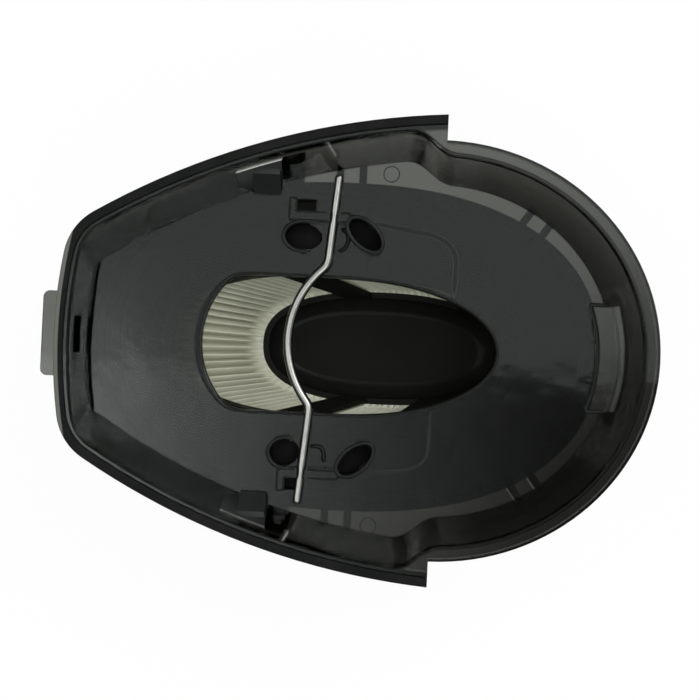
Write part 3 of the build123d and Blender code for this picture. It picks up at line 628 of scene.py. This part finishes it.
left_centre_x = WINDOW_LEFT_X + WINDOW_LEFT_RADIUS
side_end_x = left_centre_x - math.sqrt(WINDOW_LEFT_RADIUS ** 2 - WINDOW_HALF_WIDTH ** 2)
right_turn = np.linspace(-np.pi / 2, np.pi / 2, 121)
left_gape = math.asin(WINDOW_HALF_WIDTH / WINDOW_LEFT_RADIUS)
left_turn = np.linspace(np.pi - left_gape, np.pi + left_gape, 81)
straight = np.linspace(0, 1, 60)[1:-1]
right_end = turned_oval(0, 0, WINDOW_RIGHT_X, WINDOW_HALF_WIDTH, 0, right_turn)
left_end = turned_oval(left_centre_x, 0, WINDOW_LEFT_RADIUS, WINDOW_LEFT_RADIUS, 0, left_turn)
upper_side = np.column_stack([side_end_x * straight, np.full(len(straight), WINDOW_HALF_WIDTH)])
lower_side = (upper_side * (1, -1))[::-1]
window = np.concatenate([right_end, upper_side, left_end, lower_side])
for smoothing in range(WINDOW_SMOOTHING):
    window = (np.roll(window, 1, axis=0) + np.roll(window, -1, axis=0)) / 2
window = np.concatenate([window, window[:1]])
lip_leftness = np.clip((-window[:, 0] - LIP_LEFT_FROM) / LIP_LEFT_RUN, 0, 1)
lip_half_width = LIP_HALF_WIDTH + LIP_LEFT_MORE * lip_leftness
lip_ahead = np.gradient(window, axis=0)
lip_ahead[0] = lip_ahead[-1] = window[1] - window[-2]
lip_ahead /= np.linalg.norm(lip_ahead, axis=1, keepdims=True)
lip_outwards = np.stack([lip_ahead[:, 1], -lip_ahead[:, 0]], -1)
window_lip = window + lip_outwards * (lip_half_width - LIP_OVERHANG)[:, None]
lip_z = FLOOR_TOP + LIP_RISE - LIP_HALF_HEIGHT
bead("window_lip", window_lip, lip_half_width, LIP_HALF_HEIGHT, lip_z, edge_finish)

# Rim seal: a strip of soft black rubber on the ledge round the straight-sided half, cut square at
# the shoulders. Its face is matt, with a little dust in the pores. At the nose a pale band along the outer
# edge is painted highlight, where that edge catches the light from the left, and a soft lip hangs over
# the wall inside.

SEAL_BLACK = (0.003, 0.0035, 0.003, 1)
SEAL_DUST = (0.011, 0.011, 0.0105, 1)
SEAL_HIGHLIGHT_GREY = (0.13, 0.132, 0.118, 1)
SEAL_HIGHLIGHT_WIDTH = 0.0013
SEAL_HIGHLIGHT_FADE = 0.0002
NOSE_X = -0.0694
NOSE_RADIUS = 0.120
SEAL_LIP_INSET = 0.0035
SEAL_LIP_HALF_LENGTH = 0.0235
SEAL_LIP = (0.0004, 0.0004)
SEAL_LIP_Z = 0.0625

seal_finish = Finish("soft_black_rubber", IOR=1.5, Specular_IOR_Level=0.1)
seal_grain = seal_finish.noise(3800, 4)
seal_cloud = seal_finish.noise(120, 4)
seal_tone = seal_finish.spread(0.5 * seal_grain + 0.5 * seal_cloud, 0.4, 0.66)
seal_spot = seal_finish.node("ShaderNodeTexCoord", output="Object")
seal_x = seal_finish.node("ShaderNodeSeparateXYZ", {}, {0: seal_spot}, "X")
seal_y = seal_finish.node("ShaderNodeSeparateXYZ", {}, {0: seal_spot}, "Y")
# Painted highlight: the seal is pale grey in a band along its outer edge at the nose.
off_nose = seal_x - NOSE_X - seal_y * seal_y * (0.5 / NOSE_RADIUS)
seal_highlight = seal_finish.spread(off_nose, SEAL_HIGHLIGHT_WIDTH - SEAL_HIGHLIGHT_FADE, SEAL_HIGHLIGHT_WIDTH, 1.0, 0.0)
seal_colour = seal_finish.blend(seal_tone, SEAL_BLACK, SEAL_DUST)
seal_finish.feed("Base Color", seal_finish.blend(seal_highlight, seal_colour, SEAL_HIGHLIGHT_GREY))
seal_finish.feed("Roughness", 0.5 + 0.2 * seal_grain)
seal_finish.bump(seal_grain, 0.00007)
dress("rim_seal", seal_finish)

seal_lip_y = np.linspace(-SEAL_LIP_HALF_LENGTH, SEAL_LIP_HALF_LENGTH, 90)
seal_lip_x = NOSE_X + SEAL_LIP_INSET + seal_lip_y ** 2 / (2 * NOSE_RADIUS)
seal_lip = np.column_stack([seal_lip_x, seal_lip_y])
bead("seal_lip", seal_lip, *SEAL_LIP, SEAL_LIP_Z, seal_finish, "seal_rubber")

# Cleaning wire: hard-drawn bright steel, bent to a bow that a finger lifts and lets go. Its straight
# ends turn in the two clips of the tray. Drawing leaves fine lines along it.

WIRE_BRIGHT = (0.39, 0.385, 0.365, 1)
WIRE_GREY = (0.28, 0.275, 0.26, 1)
WIRE_SKEW = math.radians(-4.8)

wire_finish = Finish("bright_drawn_steel", Metallic=1.0)
wire_lines = wire_finish.noise(4200, 3, wire_finish.place((1, 0.02, 1), (0, 0, -WIRE_SKEW)))
wire_cloud = wire_finish.noise(260, 4)
wire_finish.feed("Base Color", wire_finish.blend(wire_cloud, WIRE_BRIGHT, WIRE_GREY))
wire_finish.feed("Roughness", 0.13 + 0.12 * wire_lines + 0.06 * wire_cloud)
wire_finish.bump(wire_lines, 0.000012)
dress("cleaning_wire", wire_finish)

# Stage: a plain white table that the unit lies on. It looks white in the picture and in reflections,
# and keeps a little of the shadow. Seen through the smoke plastic its glow is painted dimmer towards the
# lower right, as painted shadow of the unit.

TABLE_HALF = 3.0
TABLE_WHITE = (0.86, 0.86, 0.86, 1)
TABLE_GLOW = 0.96
TABLE_SHADE = 0.2
TABLE_SHADE_ACROSS = (-0.06, 0.035)
TABLE_SHADE_SLANT = 0.55
TABLE_CORNER = (0.05, 0.075)
TABLE_CORNER_SLANT = 0.6
TABLE_CORNER_SHADE = 0.35

table_mesh = bpy.data.meshes.new("table_top")
table_corners = np.array([[-1, -1, 0], [1, -1, 0], [1, 1, 0], [-1, 1, 0]]) * TABLE_HALF
table_mesh.from_pydata(table_corners.tolist(), [], [[0, 1, 2, 3]])
table = bpy.data.objects.new("table_top", table_mesh)
bpy.context.scene.collection.objects.link(table)
table_finish = Finish("white_table", Base_Color=TABLE_WHITE, Roughness=0.8)
camera_ray = table_finish.node("ShaderNodeLightPath", output="Is Camera Ray")
gloss_ray = table_finish.node("ShaderNodeLightPath", output="Is Glossy Ray")
clear_ray = table_finish.node("ShaderNodeLightPath", output="Is Transmission Ray")
clear_or_gloss = gloss_ray.sum_of("MAXIMUM", gloss_ray, clear_ray)
table_seen = camera_ray.sum_of("MAXIMUM", camera_ray, clear_or_gloss)
table_spot = table_finish.node("ShaderNodeTexCoord", output="Object")
table_x = table_finish.node("ShaderNodeSeparateXYZ", {}, {0: table_spot}, "X")
table_y = table_finish.node("ShaderNodeSeparateXYZ", {}, {0: table_spot}, "Y")
# Painted shadow: seen through the smoke plastic, the table's glow is darker towards the lower right and
# darkest at the lower right corner.
across_shade = table_y - TABLE_SHADE_SLANT * table_x
across_corner = table_x - TABLE_CORNER_SLANT * table_y
shade = table_finish.spread(across_shade, *TABLE_SHADE_ACROSS, TABLE_SHADE, 1.0)
shade = shade * table_finish.spread(across_corner, *TABLE_CORNER, 1.0, TABLE_CORNER_SHADE)
shade = 1 - clear_ray * (1 - shade)
glow = table_finish.tree.nodes.new("ShaderNodeEmission")
table_finish.join(table_finish.blend(shade, (0, 0, 0, 1), (1, 1, 1, 1)), glow.inputs["Color"])
mixed = table_finish.tree.nodes.new("ShaderNodeMixShader")
table_finish.join(table_seen * TABLE_GLOW, mixed.inputs[0])
table_finish.tree.links.new(table_finish.shader.outputs[0], mixed.inputs[1])
table_finish.tree.links.new(glow.outputs[0], mixed.inputs[2])
table_finish.tree.links.new(mixed.outputs[0], table_finish.output.inputs["Surface"])
table_mesh.materials.append(table_finish.material)

# Light: a dim room with a pale ceiling that the floor of the tray mirrors. The ceiling is even towards
# +Y, and fades from left to right towards -Y. Bright strips light the tray's walls by way of its floor,
# and two lamps to the sides light the pleats.

ROOM_LOW = 0.20
ROOM_HIGH = 0.42
ROOM_TINT = (0.94, 1.0, 0.965, 1)
CEILING_EVEN = 0.95
CEILING_SPAN = (-0.120, 0.107)
CEILING_EDGE = (-0.0125, -0.0085)
CEILING_RIM = (0.2, 0.4)
LEAST_STEEP = 0.05
EVEN_LEFT_MORE = 0.75
EVEN_LEFT_ACROSS = (0.0, 0.05)
FADE_LOW = 0.17
FADE_RISE = 1.68
FADE_POWER = 1.35
FADE_LEFT_MORE = 0.8
LEFT_END_POWER = 8
STRIP_NEAR = 3.0
STRIP_FAR = 2.0
STRIP_START_X = (-0.10, 0.05)
STRIP_STOP_X = (0.55, 0.7)
STRIP_START_Y = (0.2, 0.32)
STRIP_STOP_Y = (0.75, 0.9)
STRIP_SIDES = (-0.1, 0.1)
END_STRIP_START_X = (0.2, 0.23)
END_STRIP_STOP_X = (0.34, 0.38)
END_STRIP_STOP_Y = (0.2, 0.3)
LAMPS = {
    "key_lamp": ((0.75, 0.60, 1.25), (0.9, 0.9), 3.0),
    "fill_lamp": ((-0.85, 0.10, 1.25), (1.0, 1.0), 1.2),
}


class Room(Finish):
    """The world's node tree, with the same sums as a material has."""

    def __init__(self, world):
        world.use_nodes = True
        self.tree = world.node_tree


world = bpy.data.worlds.new("pale_room")
room = Room(world)
way = room.node("ShaderNodeTexCoord", output="Generated")
way_x = room.node("ShaderNodeSeparateXYZ", {}, {0: way}, "X")
way_y = room.node("ShaderNodeSeparateXYZ", {}, {0: way}, "Y")
way_z = room.node("ShaderNodeSeparateXYZ", {}, {0: way}, "Z")
steep = way_z.sum_of("MAXIMUM", way_z, LEAST_STEEP)
lean_x = way_x.sum_of("DIVIDE", way_x, steep)
lean_y = way_y.sum_of("DIVIDE", way_y, steep)
leftward = room.spread(lean_x, *CEILING_SPAN, 1.0, 0.0)
left_end_share = leftward ** LEFT_END_POWER
even_left = left_end_share * room.spread(lean_y, *EVEN_LEFT_ACROSS, 1.0, 0.0)
even_part = CEILING_EVEN + EVEN_LEFT_MORE * even_left
fading_part = FADE_LOW + FADE_RISE * leftward ** FADE_POWER + FADE_LEFT_MORE * left_end_share
towards_even = room.spread(lean_y, *CEILING_EDGE)
ceiling = fading_part + towards_even * (even_part - fading_part)
far_x = lean_x.sum_of("ABSOLUTE", lean_x)
far_y = lean_y.sum_of("ABSOLUTE", lean_y)
lean = far_x.sum_of("MAXIMUM", far_x, far_y)
walls = room.spread(way_z, 0.0, 1.0, ROOM_LOW, ROOM_HIGH)
room_light = ceiling + room.spread(lean, *CEILING_RIM) * (walls - ceiling)
strip = room.spread(lean_x, *STRIP_START_X) * room.spread(lean_x, *STRIP_STOP_X, 1.0, 0.0)
strip = strip * room.spread(far_y, *STRIP_START_Y) * room.spread(far_y, *STRIP_STOP_Y, 1.0, 0.0)
room_light = room_light + strip * room.spread(lean_y, *STRIP_SIDES, STRIP_NEAR, STRIP_FAR)
end_strip = room.spread(lean_x, *END_STRIP_START_X) * room.spread(lean_x, *END_STRIP_STOP_X, 1.0, 0.0)
room_light = room_light + end_strip * room.spread(far_y, *END_STRIP_STOP_Y, STRIP_NEAR, 0.0)
room_seen = room.node("ShaderNodeLightPath", output="Is Camera Ray")
room_glow = room.tree.nodes["Background"]
room_glow.inputs["Color"].default_value = ROOM_TINT
room.join(room_light, room_glow.inputs["Strength"])
white_glow = room.tree.nodes.new("ShaderNodeBackground")
white_glow.inputs["Color"].default_value = (1, 1, 1, 1)
room_mix = room.tree.nodes.new("ShaderNodeMixShader")
room.join(room_seen, room_mix.inputs[0])
room.tree.links.new(room_glow.outputs[0], room_mix.inputs[1])
room.tree.links.new(white_glow.outputs[0], room_mix.inputs[2])
room.tree.links.new(room_mix.outputs[0], room.tree.nodes["World Output"].inputs["Surface"])
bpy.context.scene.world = world

for lamp_name, (place, sides, brightness) in LAMPS.items():
    lamp_data = bpy.data.lights.new(lamp_name, "AREA")
    lamp_data.shape = "RECTANGLE"
    lamp_data.size, lamp_data.size_y = sides
    lamp_data.energy = brightness * math.pi * sides[0] * sides[1]
    lamp = bpy.data.objects.new(lamp_name, lamp_data)
    lamp.location = place
    lamp.rotation_euler = (-lamp.location).to_track_quat("-Z", "Y").to_euler()
    bpy.context.scene.collection.objects.link(lamp)

# Camera: straight above the open side, rolled a little, as the unit lies in the photograph.
# Its lens gives the photograph's scale in the plane of the rim.

CAMERA_ABOVE_RIM = 0.470
CAMERA_PLACE = (0.00005, -0.00074)
CAMERA_ROLL = math.radians(2.7)
PICTURE_PIXELS = 700
PIXELS_PER_METRE_AT_RIM = 4288.0

camera_data = bpy.data.cameras.new("camera")
camera_data.sensor_width = 36.0
picture_width = PICTURE_PIXELS / PIXELS_PER_METRE_AT_RIM
camera_data.lens = camera_data.sensor_width * CAMERA_ABOVE_RIM / picture_width
camera_data.clip_start = 0.01
camera = bpy.data.objects.new("camera", camera_data)
camera.location = (*CAMERA_PLACE, cad_box[1][2] + CAMERA_ABOVE_RIM)
camera.rotation_euler = (0, 0, CAMERA_ROLL)
bpy.context.scene.collection.objects.link(camera)
bpy.context.scene.camera = camera
bpy.context.scene.view_settings.view_transform = "Standard"
